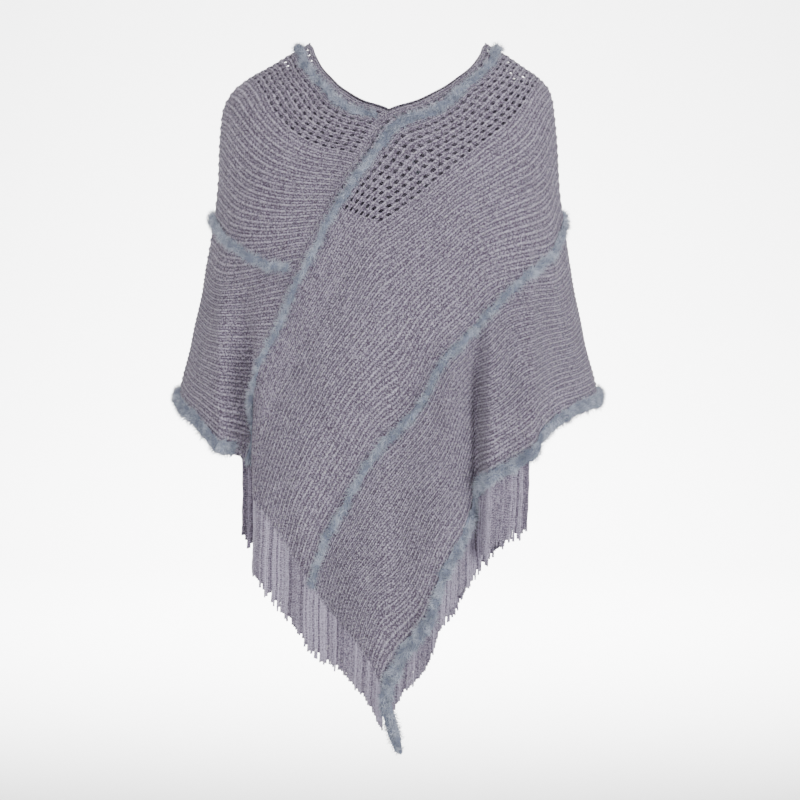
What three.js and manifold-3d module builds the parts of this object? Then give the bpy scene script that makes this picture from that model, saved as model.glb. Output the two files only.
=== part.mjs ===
// A knitted poncho sweater, hollow, in the form it takes when it is worn.
// Millimetres, +Z up, the front towards -Y. The origin is between the shoulders, where the wearer holds it up.
// Two knitted rectangles make it. Each one's back or front end is sewn to the other's long inner edge, which
// leaves a V neck in front and behind and a point in front and behind. The right half is the left half turned
// half a turn about Z. Fur strips follow both long edges and the middle of each panel. Yarn fringe hangs from
// each short end and from the lower part of each outer edge.
import * as THREE from "three";
import { mergeVertices } from "three/addons/utils/BufferGeometryUtils.js";
import Module from "manifold-3d";

// Driving sizes
const WALL = 2.2; // cloth between the ribs
const RIB_HEIGHT = 1.0;
const RIB_COUNT = 62; // across a whole panel
const OPENWORK = 0.18; // share of the panel's width that is an open net, left uncut and without ribs here
const OPENWORK_ROWS = 4;
const SEAM_GAP = 0.4;
const SEAM_BEVEL = 0.9; // more gap for each millimetre into the cloth
const SEAM_SHARE = 0.545; // of a panel's length, sewn to the other panel's end
const SHOULDER_SHARE = (1 + SEAM_SHARE) / 2; // where a panel crosses the shoulder
const NECK_SHIFT = { by: 12, from: -95, full: -8 }; // the neck sits a little to one side
const BACK = { narrower: 0.15, depth: 60, from: -470, full: -620 }; // the back hangs narrower than the front
const FUR = { lift: 2.4, height: 8, inner: 6, narrow: 0.006 };
const FRINGE = { gap: 0.9, strip: 5, radius: 1.15, upper: 100, lower: 68, uneven: 7, perEdge: 52 };
const MIDDLE = 0.55; // where the middle fur strip lies across the panel
const LONG_FRINGE = { from: 91, to: 50 }; // angles between which the outer edge has fringe
const SHORT_STATIONS = 26;
const [FRINGE_HIGH, FRINGE_LOW] = [-640, -780]; // between these heights its strands get shorter
const PLUMB_WIDTH_POWER = 3;

// Level sections of the cloth. drop is the length of cloth down the side from the neck. plumb is how far the
// front of the section is spread so that the folds hang straight down.
const LEVELS = [
  { drop: -20, height: 12, halfWidth: 92, halfDepth: 8, power: 2, plumb: 1 },
  { drop: 0, height: 2, halfWidth: 110, halfDepth: 24, power: 2, plumb: 1 },
  { drop: 32, height: -13, halfWidth: 138, halfDepth: 38, power: 2, plumb: 1 },
  { drop: 62, height: -30, halfWidth: 163, halfDepth: 52, power: 2.05, plumb: 1 },
  { drop: 90, height: -45, halfWidth: 187, halfDepth: 65, power: 2.1, plumb: 1 },
  { drop: 112, height: -60, halfWidth: 203, halfDepth: 76, power: 2.15, plumb: 1 },
  { drop: 138, height: -84, halfWidth: 212, halfDepth: 92, power: 2.2, plumb: 1.08 },
  { drop: 174, height: -120, halfWidth: 215, halfDepth: 108, power: 2.3, plumb: 1.2 },
  { drop: 227, height: -173, halfWidth: 218, halfDepth: 124, power: 2.35, plumb: 1.3 },
  { drop: 292, height: -237, halfWidth: 226, halfDepth: 137, power: 2.4, plumb: 1.26 },
  { drop: 376, height: -320, halfWidth: 240, halfDepth: 143, power: 2.4, plumb: 1.19 },
  { drop: 447, height: -390, halfWidth: 255, halfDepth: 146, power: 2.4, plumb: 1.12 },
  { drop: 517, height: -457, halfWidth: 271, halfDepth: 149, power: 2.4, plumb: 1.05 },
  { drop: 600, height: -540, halfWidth: 281, halfDepth: 151, power: 2.4, plumb: 1.01 },
  { drop: 760, height: -700, halfWidth: 285, halfDepth: 153, power: 2.4, plumb: 1 },
  { drop: 960, height: -900, halfWidth: 285, halfDepth: 154, power: 2.4, plumb: 1 },
];

// Hanging folds, as seen from the front. across is each one's place at its start and at the hem, left and
// right are its half-widths, out is how far it stands out (in where it is negative).
const FOLDS = [
  { name: "left_arm_ridge", start: 172, hem: 177, left: 16, right: 24, out: 13, from: -250, full: -430 },
  { name: "left_arm_valley", start: 122, hem: 119, left: 27, right: 9, out: -34, from: -285, full: -490 },
  { name: "left_front_ridge", start: 70, hem: 62, left: 26, right: 20, out: 9, from: -380, full: -560 },
  { name: "right_front_ridge", start: -104, hem: -104, left: 20, right: 24, out: 9, from: -450, full: -620 },
  { name: "right_front_border", start: -158, hem: -163, left: 9, right: 24, out: 10, from: -330, full: -460 },
  { name: "right_arm_valley", start: -178, hem: -185, left: 24, right: 15, out: -27, from: -285, full: -450 },
  { name: "right_arm_ridge", start: -203, hem: -208, left: 20, right: 13, out: 11, from: -250, full: -420 },
];

// The panel's edges on the cloth: angle round the body (0 the left side, 90 the front) and drop.
const INNER_EDGE = [
  { share: 0, angle: 130, drop: 582 },
  { share: 0.075, angle: 126, drop: 510 },
  { share: 0.149, angle: 122, drop: 444 },
  { share: 0.193, angle: 117.6, drop: 407 },
  { share: 0.258, angle: 112.3, drop: 352 },
  { share: 0.329, angle: 106.3, drop: 294 },
  { share: 0.402, angle: 100.5, drop: 236 },
  { share: 0.477, angle: 95, drop: 184 },
  { share: SEAM_SHARE, angle: 90, drop: 139 },
  { share: 0.593, angle: 81.5, drop: 126 },
  { share: 0.627, angle: 73, drop: 109 },
  { share: 0.665, angle: 62, drop: 80 },
  { share: 0.707, angle: 42, drop: 36 },
  { share: 0.737, angle: 26, drop: 13 },
  { share: SHOULDER_SHARE, angle: 0, drop: 0 },
];
const OUTER_EDGE = [
  { share: -0.09, angle: 88.4, drop: 956 },
  { share: 0, angle: 90, drop: 886 },
  { share: 0.06, angle: 88, drop: 838 },
  { share: 0.14, angle: 83, drop: 795 },
  { share: 0.24, angle: 78.6, drop: 722 },
  { share: 0.33, angle: 72, drop: 668 },
  { share: 0.41, angle: 67.5, drop: 614 },
  { share: 0.5, angle: 55.6, drop: 578 },
  { share: 0.57, angle: 49, drop: 549 },
  { share: 0.65, angle: 34, drop: 528 },
  { share: SHOULDER_SHARE, angle: 0, drop: 517 },
  { share: 0.9, angle: -30, drop: 541 },
  { share: 1, angle: -50, drop: 582 },
];
const SHORT_END = [
  { across: 0, angle: 130, drop: 582 },
  { across: 0.15, angle: 125, drop: 617 },
  { across: 0.28, angle: 120.5, drop: 645 },
  { across: 0.42, angle: 114, drop: 682 },
  { across: 0.56, angle: 105.5, drop: 745 },
  { across: 0.78, angle: 98, drop: 795 },
  { across: 0.93, angle: 93, drop: 838 },
  { across: 1, angle: 90, drop: 886 },
];
// How far the ribs are drawn towards the outer edge along the panel.
const RIB_DRIFT = [
  { share: 0, drift: 0 },
  { share: 0.4, drift: 0.05 },
  { share: SHOULDER_SHARE, drift: 0.01 },
  { share: 1, drift: -0.05 },
];

// Angles where a panel's columns stand: on the folds and evenly between them.
const COLUMNS = [
  130, 125.8, 122.6, 118.5, 113, 106, 99, 90, 85, 80, 74.5, 69.6, 66.5, 61.5, 55.6, 46, 32, 17, 0,
  -18, -34, -46.7, -54.3, -59, -67, -78, -90,
];
const COLUMN_SNAP = 0.9; // degrees
const RIB_SAMPLES = 160;
const INSIDE_ROW_STEP = 5;

const radians = (degrees) => (degrees * Math.PI) / 180;

/** One column of a table at a place between its rows, on a smooth curve with no overshoot. */
function read(rows, place, column, at) {
  const last = rows.length - 1;
  const slope = (i) =>
    (rows[i + 1][column] - rows[i][column]) / (rows[i + 1][place] - rows[i][place]);
  if (at <= rows[0][place]) return rows[0][column] + slope(0) * (at - rows[0][place]);
  if (at >= rows[last][place]) {
    return rows[last][column] + slope(last - 1) * (at - rows[last][place]);
  }
  const tangent = (i) => {
    if (i === 0) return slope(0);
    if (i === last) return slope(last - 1);
    const [before, after] = [slope(i - 1), slope(i)];
    return before * after <= 0 ? 0 : (2 * before * after) / (before + after);
  };
  let i = 0;
  while (at > rows[i + 1][place]) i += 1;
  const width = rows[i + 1][place] - rows[i][place];
  const u = (at - rows[i][place]) / width;
  const rise = rows[i + 1][column] - rows[i][column];
  const [a, b] = [tangent(i) * width, tangent(i + 1) * width];
  return rows[i][column] + u * a + u * u * (3 * rise - 2 * a - b) + u * u * u * (a + b - 2 * rise);
}

const smooth = (u) => {
  const v = Math.min(1, Math.max(0, u));
  return v * v * (3 - 2 * v);
};

/** How far the folds move the cloth outwards at a place across the front and a height. */
function foldOut(across, height) {
  let out = 0;
  for (const fold of FOLDS) {
    const grown = smooth((height - fold.from) / (fold.full - fold.from));
    if (grown === 0) continue;
    const middle = fold.start + (fold.hem - fold.start) * grown;
    const far = (across - middle) / (across < middle ? fold.left : fold.right);
    out += fold.out * grown * Math.exp(-far * far);
  }
  return out;
}

/** A point of the worn cloth, before the neck's shift. */
function bodyPoint(angle, drop) {
  const at = (column) => read(LEVELS, "drop", column, drop);
  const [height, halfWidth, halfDepth, power, plumb] = [
    at("height"), at("halfWidth"), at("halfDepth"), at("power"), at("plumb"),
  ];
  const c = Math.cos(radians(angle));
  const s = Math.sin(radians(angle));
  const round = Math.abs(c) ** (2 / power);
  const share = Math.min(1, (plumb * round) / (1 + (plumb - 1) * round ** PLUMB_WIDTH_POWER));
  const deep = Math.max(0, 1 - share ** power) ** (1 / power);
  const x = Math.sign(c) * halfWidth * share;
  const y = -Math.sign(s) * halfDepth * deep;
  const outX = (Math.sign(c) * share ** (power - 1)) / halfWidth;
  const outY = (-Math.sign(s) * deep ** (power - 1)) / halfDepth;
  const out = foldOut(y <= 0 ? x : -x, height) / Math.hypot(outX, outY);
  return new THREE.Vector3(x + outX * out, y + outY * out, height);
}

/** The cloth's outward normal there. */
function bodyNormal(angle, drop) {
  const step = 0.4;
  const round = bodyPoint(angle - step, drop).sub(bodyPoint(angle + step, drop));
  const down = bodyPoint(angle, drop + step).sub(bodyPoint(angle, drop - step));
  return down.cross(round).normalize();
}

/** The inner edge at a share of the length. Past the shoulder it mirrors the front. */
function innerEdge(share) {
  const past = share > SHOULDER_SHARE;
  const at = past ? 2 * SHOULDER_SHARE - share : share;
  const angle = read(INNER_EDGE, "share", "angle", at);
  return { angle: past ? -angle : angle, drop: read(INNER_EDGE, "share", "drop", at) };
}

const outerEdge = (share) => ({
  angle: read(OUTER_EDGE, "share", "angle", share),
  drop: read(OUTER_EDGE, "share", "drop", share),
});

const shortEnd = (across) => ({
  angle: read(SHORT_END, "across", "angle", across),
  drop: read(SHORT_END, "across", "drop", across),
});

/** The sewn end lies along the other panel's inner edge, half a turn round. */
function sewnEnd(across) {
  const edge = innerEdge(SEAM_SHARE * (1 - across));
  return { angle: edge.angle - 180, drop: edge.drop };
}

/** Where a point of the flat panel lies on the cloth. share runs along it, across from its inner edge. */
function place(share, across) {
  const drawn = across + 4 * read(RIB_DRIFT, "share", "drift", share) * across * (1 - across);
  const inner = innerEdge(Math.max(0, share));
  const outer = outerEdge(share);
  const corner = { inner0: innerEdge(0), outer0: outerEdge(0), inner1: innerEdge(1), outer1: outerEdge(1) };
  const [first, second] = [shortEnd(drawn), sewnEnd(drawn)];
  const nearStart = Math.min(1, 1 - share);
  const nearEnd = Math.max(0, share) ** 3;
  const mix = (key) =>
    (1 - drawn) * inner[key] + drawn * outer[key] +
    nearStart * (first[key] - (1 - drawn) * corner.inner0[key] - drawn * corner.outer0[key]) +
    nearEnd * (second[key] - (1 - drawn) * corner.inner1[key] - drawn * corner.outer1[key]);
  return { angle: mix("angle"), drop: mix("drop") };
}

/** A line along the panel, as places at each column between its two ends. */
function ribLine(across, from = 0, to = 1) {
  const samples = [];
  for (let i = 0; i <= RIB_SAMPLES; i += 1) {
    samples.push(place(from + ((to - from) * i) / RIB_SAMPLES, across));
  }
  const [first, last] = [samples[0], samples[RIB_SAMPLES]];
  let i = 0;
  const places = COLUMNS.map((angle) => {
    if (angle > first.angle - COLUMN_SNAP) return { ...first, end: "first" };
    if (angle < last.angle + COLUMN_SNAP) return { ...last, end: "last" };
    while (samples[i + 1].angle > angle) i += 1;
    const u = (samples[i].angle - angle) / (samples[i].angle - samples[i + 1].angle);
    return { angle, drop: samples[i].drop + u * (samples[i + 1].drop - samples[i].drop) };
  });
  return places;
}

/** The point a lift out of the cloth at a place. */
const lifted = (spot, lift) =>
  bodyPoint(spot.angle, spot.drop).addScaledVector(bodyNormal(spot.angle, spot.drop), lift);

/** Turns a point to the right half if asked, shifts the neck and draws the lower back in. */
function worn(point, turned) {
  const p = turned ? new THREE.Vector3(-point.x, -point.y, point.z) : point.clone();
  p.x += NECK_SHIFT.by * smooth((p.z - NECK_SHIFT.from) / (NECK_SHIFT.full - NECK_SHIFT.from));
  const low = smooth((p.z - BACK.from) / (BACK.full - BACK.from));
  p.x *= 1 - BACK.narrower * low * smooth(p.y / BACK.depth);
  return p;
}

/** Collects shared points and triangles, leaving out those that have collapsed. */
class Skin {
  constructor(wear) {
    this.wear = wear;
    this.points = [];
    this.faces = [];
  }
  add(point) {
    this.points.push(this.wear(point));
    return this.points.length - 1;
  }
  face(a, b, c) {
    if (a !== b && b !== c && c !== a) this.faces.push(a, b, c);
  }
  quad(a, b, c, d) {
    this.face(a, b, c);
    this.face(a, c, d);
  }
  geometry() {
    const g = new THREE.BufferGeometry();
    g.setAttribute("position", new THREE.Float32BufferAttribute(this.points.flatMap((p) => p.toArray()), 3));
    g.setIndex(this.faces);
    return g;
  }
}

/** Across-places of a panel's outer rows: plain over the openwork, then a ridge and a groove for each rib. */
function panelRows() {
  const rows = [];
  for (let i = 0; i < OPENWORK_ROWS; i += 1) rows.push({ across: (OPENWORK * i) / OPENWORK_ROWS, lift: 0 });
  const ribs = Math.round(RIB_COUNT * (1 - OPENWORK));
  for (let i = 0; i < ribs; i += 1) {
    rows.push({ across: OPENWORK + ((1 - OPENWORK) * i) / ribs, lift: 0 });
    rows.push({ across: OPENWORK + ((1 - OPENWORK) * (i + 0.5)) / ribs, lift: RIB_HEIGHT });
  }
  rows.push({ across: 1, lift: 0 });
  return rows;
}

/** The sewn end's points lie just off the other panel's inner edge, on its own chords. */
function seamPoint(across, lift) {
  const share = SEAM_SHARE * (1 - across);
  const edge = ribLine(0).filter((spot, i, all) => i === 0 || spot.angle !== all[i - 1].angle);
  const angle = innerEdge(share).angle;
  let i = 0;
  while (i < edge.length - 2 && edge[i + 1].angle > angle) i += 1;
  const u = Math.min(1, Math.max(0, (edge[i].angle - angle) / (edge[i].angle - edge[i + 1].angle)));
  const point = lifted(edge[i], lift).lerp(lifted(edge[i + 1], lift), u);
  return new THREE.Vector3(-point.x, -point.y, point.z);
}

/** One knitted panel: ribs outside, a plain inside, closed round its four edges. */
function panel(turned) {
  const skin = new Skin((point) => worn(point, turned));
  const rows = panelRows();
  const layer = (across, lift) => {
    const spots = ribLine(across);
    const ends = {};
    return spots.map((spot) => {
      if (spot.end && spot.end in ends) return ends[spot.end];
      let point = lifted(spot, lift);
      if (spot.end === "last") {
        const inwards = bodyPoint(...Object.values(place(0.98, across))).sub(seamPoint(across, 0));
        const gap = SEAM_GAP + Math.max(0, -lift) * SEAM_BEVEL;
        point = seamPoint(across, lift).addScaledVector(inwards.normalize(), gap);
      }
      const index = skin.add(point);
      if (spot.end) ends[spot.end] = index;
      return index;
    });
  };
  const outside = rows.map((row) => layer(row.across, row.lift));
  const insideAt = rows.map((_, i) => i).filter((i) => i % INSIDE_ROW_STEP === 0 || i === rows.length - 1);
  const inside = insideAt.map((i) => layer(rows[i].across, -WALL));
  const wide = COLUMNS.length - 1;
  for (let j = 0; j + 1 < outside.length; j += 1) {
    for (let k = 0; k < wide; k += 1) {
      skin.quad(outside[j][k], outside[j + 1][k], outside[j + 1][k + 1], outside[j][k + 1]);
    }
  }
  for (let j = 0; j + 1 < inside.length; j += 1) {
    for (let k = 0; k < wide; k += 1) {
      skin.quad(inside[j][k], inside[j][k + 1], inside[j + 1][k + 1], inside[j + 1][k]);
    }
    const [low, high] = [insideAt[j], insideAt[j + 1]];
    const middle = Math.floor((low + high) / 2);
    for (let i = low; i < high; i += 1) {
      const near = i < middle ? j : j + 1;
      skin.face(inside[near][0], outside[i + 1][0], outside[i][0]);
      skin.face(inside[near][wide], outside[i][wide], outside[i + 1][wide]);
    }
    skin.face(inside[j][0], inside[j + 1][0], outside[middle][0]);
    skin.face(inside[j][wide], outside[middle][wide], inside[j + 1][wide]);
  }
  for (let k = 0; k < wide; k += 1) {
    skin.quad(outside[0][k], outside[0][k + 1], inside[0][k + 1], inside[0][k]);
    const [o, i] = [outside[outside.length - 1], inside[inside.length - 1]];
    skin.quad(o[k + 1], o[k], i[k], i[k + 1]);
  }
  return skin.geometry();
}

/** A closed bar through rings of points, each ring the same way round. */
function bar(rings, wear = (point) => point) {
  const skin = new Skin(wear);
  const indexed = rings.map((ring) => ring.map((point) => skin.add(point)));
  const sides = rings[0].length;
  for (let i = 0; i + 1 < indexed.length; i += 1) {
    for (let j = 0; j < sides; j += 1) {
      const next = (j + 1) % sides;
      skin.quad(indexed[i][j], indexed[i][next], indexed[i + 1][next], indexed[i + 1][j]);
    }
  }
  const [first, last] = [indexed[0], indexed[indexed.length - 1]];
  for (let j = 1; j + 1 < sides; j += 1) {
    skin.face(first[0], first[j + 1], first[j]);
    skin.face(last[0], last[j], last[j + 1]);
  }
  return skin.geometry();
}

/** A fur strip along the panel. section holds its corners: a place across and a lift. */
function furStrip(section, from, to, turned, tail = []) {
  const lines = section.map((corner) => ribLine(corner.across, from, to));
  const rings = tail.map((share) =>
    section.map((corner) => {
      const slim = 1 - (1 - TAIL_END) * (share / tail[0]);
      const middle = section[0].across + (section[section.length - 1].across - section[0].across) / 2;
      return lifted(place(share, middle + (corner.across - middle) * slim), corner.lift);
    }),
  );
  rings.push(section.map((corner, i) => lifted(lines[i][0], corner.lift)));
  COLUMNS.forEach((_, k) => {
    if (lines.some((line) => line[k].end)) return;
    rings.push(section.map((corner, i) => lifted(lines[i][k], corner.lift)));
  });
  rings.push(section.map((corner, i) => lifted(lines[i][COLUMNS.length - 1], corner.lift)));
  return bar(rings, (point) => worn(point, turned));
}

const TAIL_END = 0.45; // the tail's width at its tip
const TAIL = [-0.09, -0.06, -0.03];
const STRIP_END = 0.992; // fur strips stop short of the sewn end

/** Corners of a fur strip that lies on the panel between two places across. */
const furSection = (low, high, height) => [
  { across: low, lift: FUR.lift },
  { across: low + FUR.narrow, lift: FUR.lift + height },
  { across: high - FUR.narrow, lift: FUR.lift + height },
  { across: high, lift: FUR.lift },
  { across: (low + high) / 2, lift: FUR.lift },
];
const INNER_FUR = furSection(0.024, 0.058, FUR.inner);
const MIDDLE_FUR = furSection(MIDDLE - 0.018, MIDDLE + 0.018, FUR.height);
const HEM_FUR = [
  { across: 0.972, lift: FUR.lift },
  { across: 0.979, lift: FUR.lift + FUR.height - 1 },
  { across: 1.01, lift: FUR.lift + FUR.height - 1 },
  { across: 1.021, lift: FUR.lift + 2 },
  { across: 1.015, lift: FUR.lift },
];

let manifold;

/** A geometry as a solid that can be joined. */
function solid(geometry) {
  const merged = mergeVertices(geometry, 1e-4);
  return new manifold.Manifold(
    new manifold.Mesh({
      numProp: 3,
      vertProperties: merged.attributes.position.array,
      triVerts: new Uint32Array(merged.index.array),
    }),
  );
}

/** A number between -1 and 1 that looks random and is the same each time. */
const scatter = (i) => {
  const v = Math.sin(i * 12.9898) * 43758.5453;
  return 2 * (v - Math.floor(v)) - 1;
};

/** A place on an edge where fringe starts: the point, the way out of the cloth and the cloth's normal. */
function station(spot, inside, turned) {
  const on = bodyPoint(spot.angle, spot.drop);
  const at = worn(on, turned);
  const way = (direction) => worn(on.clone().add(direction.normalize()), turned).sub(at).normalize();
  const off = way(on.clone().sub(bodyPoint(inside.angle, inside.drop)));
  return { at, off, normal: way(bodyNormal(spot.angle, spot.drop)) };
}

/** The station a share of the way along straight pieces between others. */
function between(stations, share) {
  const lengths = stations.slice(1).map((s, i) => s.at.distanceTo(stations[i].at));
  let left = share * lengths.reduce((sum, l) => sum + l, 0);
  let i = 0;
  while (i < lengths.length - 1 && left > lengths[i]) left -= lengths[i++];
  const u = left / lengths[i];
  const mix = (key) => stations[i][key].clone().lerp(stations[i + 1][key], u);
  return { at: mix("at"), off: mix("off"), normal: mix("normal") };
}

/** Fringe: a narrow strip just off the cloth's edge, with strands that hang straight down from it. */
function fringe(stations) {
  const corner = (s, far, lift) => s.at.clone().addScaledVector(s.off, far).addScaledVector(s.normal, lift);
  const top = RIB_HEIGHT - 0.3;
  const ring = (s) => [
    corner(s, FRINGE.gap, top),
    corner(s, FRINGE.gap, -WALL),
    corner(s, FRINGE.strip, -WALL),
    corner(s, FRINGE.strip, top),
  ];
  let whole = solid(bar(stations.map(ring)));
  for (let i = 0; i < FRINGE.perEdge; i += 1) {
    const s = between(stations, (i + 0.5) / FRINGE.perEdge);
    const root = corner(s, FRINGE.strip * 0.74, (top - WALL) / 2);
    const fallen = s.at.z < FRINGE_LOW ? 1 : smooth((s.at.z - FRINGE_HIGH) / (FRINGE_LOW - FRINGE_HIGH));
    const long = FRINGE.upper + (FRINGE.lower - FRINGE.upper) * fallen + FRINGE.uneven * scatter(i);
    const strand = [0, 1].map((end) =>
      [240, 120, 0].map((turn) => {
        const wide = FRINGE.radius * (end ? 0.75 : 1);
        const angle = radians(turn + 40 * scatter(i + 7));
        return root
          .clone()
          .add(new THREE.Vector3(wide * Math.cos(angle), wide * Math.sin(angle), end ? -long : 0))
          .addScaledVector(s.normal, end ? 2 * scatter(i + 3) : 0)
          .addScaledVector(s.off, end ? 6 : 0);
      }),
    );
    whole = whole.add(solid(bar(strand)));
  }
  const mesh = whole.getMesh();
  const geometry = new THREE.BufferGeometry();
  geometry.setAttribute("position", new THREE.BufferAttribute(Float32Array.from(mesh.vertProperties), 3));
  geometry.setIndex(Array.from(mesh.triVerts));
  return geometry;
}

/** Fringe on the panel's short end, from its outer corner to its inner one. */
function shortFringe(turned) {
  const stations = [];
  for (let i = 0; i <= SHORT_STATIONS; i += 1) {
    const across = 0.985 - (0.96 * i) / SHORT_STATIONS;
    stations.push(station(place(0, across), place(0.02, across), turned));
  }
  return fringe(stations);
}

/** Fringe on the lower part of the panel's outer edge, with its stations at the panel's columns. */
function longFringe(turned) {
  const [edge, inside] = [ribLine(1), ribLine(0.98)];
  const stations = [];
  edge.forEach((spot, k) => {
    if (spot.angle < LONG_FRINGE.from && spot.angle > LONG_FRINGE.to) {
      stations.unshift(station(spot, inside[k], turned));
    }
  });
  return fringe(stations);
}

manifold = await Module();
manifold.setup();

const knit = new THREE.MeshStandardMaterial({ color: 0x918c9a, roughness: 0.95, metalness: 0 });
const fur = new THREE.MeshStandardMaterial({ color: 0x8f96a5, roughness: 1, metalness: 0 });
const yarn = new THREE.MeshStandardMaterial({ color: 0x8a8593, roughness: 0.9, metalness: 0 });

const poncho = new THREE.Group();
function addPiece(name, geometry, material) {
  const mesh = new THREE.Mesh(geometry, material);
  mesh.name = name;
  poncho.add(mesh);
}

for (const [side, turned] of [["left", false], ["right", true]]) {
  addPiece(`${side}_panel`, panel(turned), knit);
  addPiece(`${side}_inner_fur`, furStrip(INNER_FUR, 0, STRIP_END, turned), fur);
  addPiece(`${side}_middle_fur`, furStrip(MIDDLE_FUR, 0, STRIP_END, turned), fur);
  addPiece(`${side}_hem_fur`, furStrip(HEM_FUR, 0, STRIP_END, turned, TAIL), fur);
  addPiece(`${side}_short_fringe`, shortFringe(turned), yarn);
  addPiece(`${side}_long_fringe`, longFringe(turned), yarn);
}

export default poncho;
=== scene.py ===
"""A knitted poncho sweater with fur strips and yarn fringe, in the form it takes when it is worn.

Metres, +Z up, the front towards -Y. Two knitted rectangles make it. Each one's end is sewn to the other's long
inner edge, and the right half is the left half turned half a turn about Z.
"""

import math

import bpy
import numpy as np
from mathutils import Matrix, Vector


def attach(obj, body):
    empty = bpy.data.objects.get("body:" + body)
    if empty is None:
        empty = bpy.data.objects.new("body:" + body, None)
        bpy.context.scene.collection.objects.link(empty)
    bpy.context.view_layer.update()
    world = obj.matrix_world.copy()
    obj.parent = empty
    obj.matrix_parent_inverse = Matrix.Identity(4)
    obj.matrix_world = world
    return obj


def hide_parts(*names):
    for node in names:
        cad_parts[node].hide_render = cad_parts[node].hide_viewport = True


bl_info = {
    "name": "Knitted poncho sweater",
    "version": (1, 0, 0),
    "blender": (4, 5, 0),
    "location": "View3D > Sidebar > Poncho",
    "description": "Builds the knit, fur strips, fringe and setting of a poncho sweater",
    "category": "Object",
}

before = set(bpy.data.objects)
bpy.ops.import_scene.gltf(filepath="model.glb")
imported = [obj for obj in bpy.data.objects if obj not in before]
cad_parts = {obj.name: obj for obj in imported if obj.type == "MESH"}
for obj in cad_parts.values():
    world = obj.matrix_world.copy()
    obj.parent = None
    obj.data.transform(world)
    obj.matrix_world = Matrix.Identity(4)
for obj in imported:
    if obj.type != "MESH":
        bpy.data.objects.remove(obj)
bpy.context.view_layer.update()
BODY = "root"

# The cut
PANEL_LENGTH = 0.88
PANEL_WIDTH = 0.48
SEAM_SHARE = 0.545  # of a panel's length, sewn to the other panel's end
SHOULDER_SHARE = (1 + SEAM_SHARE) / 2
NECK_SHIFT = {"by": 12, "from": -95, "full": -8}
BACK = {"narrower": 0.15, "depth": 60, "from": -470, "full": -620}
PLUMB_WIDTH_POWER = 3
SIDES = (("left", False), ("right", True))

# Level sections of the cloth, in millimetres: drop, height, half width, half depth, and two shape numbers, the
# power of the oval and how plumb its sides fall
LEVELS = np.array([
    (-20, 12, 92, 8, 2, 1),
    (0, 2, 110, 24, 2, 1),
    (32, -13, 138, 38, 2, 1),
    (62, -30, 163, 52, 2.05, 1),
    (90, -45, 187, 65, 2.1, 1),
    (112, -60, 203, 76, 2.15, 1),
    (138, -84, 212, 92, 2.2, 1.08),
    (174, -120, 215, 108, 2.3, 1.2),
    (227, -173, 218, 124, 2.35, 1.3),
    (292, -237, 226, 137, 2.4, 1.26),
    (376, -320, 240, 143, 2.4, 1.19),
    (447, -390, 255, 146, 2.4, 1.12),
    (517, -457, 271, 149, 2.4, 1.05),
    (600, -540, 281, 151, 2.4, 1.01),
    (760, -700, 285, 153, 2.4, 1),
    (960, -900, 285, 154, 2.4, 1),
], dtype=float)

# Hanging folds in millimetres: place across the front where one starts and at the hem, half-widths to the left
# and right, how far out, and the heights where it starts and is full. The last six are narrow creases.
FOLDS = (
    (172, 177, 16, 24, 13, -250, -430),
    (122, 119, 27, 9, -34, -285, -490),
    (70, 62, 26, 20, 9, -380, -560),
    (-104, -104, 20, 24, 9, -450, -620),
    (-158, -163, 9, 24, 10, -330, -460),
    (-178, -185, 24, 15, -27, -285, -450),
    (-203, -208, 20, 13, 11, -250, -420),
    (127, 127, 6, 5, 6, -300, -430),
    (117, 117, 6, 6, -6, -300, -430),
    (-171, -173, 5, 6, 6, -300, -420),
    (-181, -183, 6, 6, -6, -300, -420),
    (-205, -209, 5, 5, 5, -270, -380),
    (174, 178, 5, 6, 5, -215, -300),
)

# The panel's edges on the cloth: share of the length (or width), angle round the body, drop
INNER_EDGE = np.array([
    (0, 130, 582), (0.075, 126, 510), (0.149, 122, 444), (0.193, 117.6, 407), (0.258, 112.3, 352),
    (0.329, 106.3, 294), (0.402, 100.5, 236), (0.477, 95, 184), (SEAM_SHARE, 90, 139), (0.593, 81.5, 126),
    (0.627, 73, 109), (0.665, 62, 80), (0.707, 42, 36), (0.737, 26, 13), (SHOULDER_SHARE, 0, 0),
])
OUTER_EDGE = np.array([
    (-0.09, 88.4, 956), (0, 90, 886), (0.06, 88, 838), (0.14, 83, 795), (0.24, 78.6, 722), (0.33, 72, 668),
    (0.41, 67.5, 614), (0.5, 55.6, 578), (0.57, 49, 549), (0.65, 34, 528), (SHOULDER_SHARE, 0, 517),
    (0.9, -30, 541), (1, -50, 582),
])
SHORT_END = np.array([
    (0, 130, 582), (0.15, 125, 617), (0.28, 120.5, 645), (0.42, 114, 682), (0.56, 105.5, 745), (0.78, 98, 795),
    (0.93, 93, 838), (1, 90, 886),
])

# How far the lines along the panel are drawn towards its outer edge, by place along it
RIB_DRIFT = np.array([(0, 0), (0.4, 0.05), (SHOULDER_SHARE, 0.01), (1, -0.05)])

# On the sleeves the ribs run flatter than the fur strips. This is how far they move, by place along the panel
# and, as a share of that, by place across it: from the net, over the middle strip, to the outer edge.
SLEEVE_DRIFT = np.array([(0, 0), (0.2, -0.01), (0.52, -0.02), (0.7, 0.11), (SHOULDER_SHARE, 0.12), (0.85, 0.11),
                         (1, -0.02)])
SLEEVE_WEIGHT = ((0.19, 0), (0.55, 1), (1, 0))

# Where the openwork starts and ends, in metres from the panel's free end: the front and the tops of the shoulders
NET_RUN = {"left": (0.36, 0.72), "right": (0.65, 0.87)}

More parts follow.
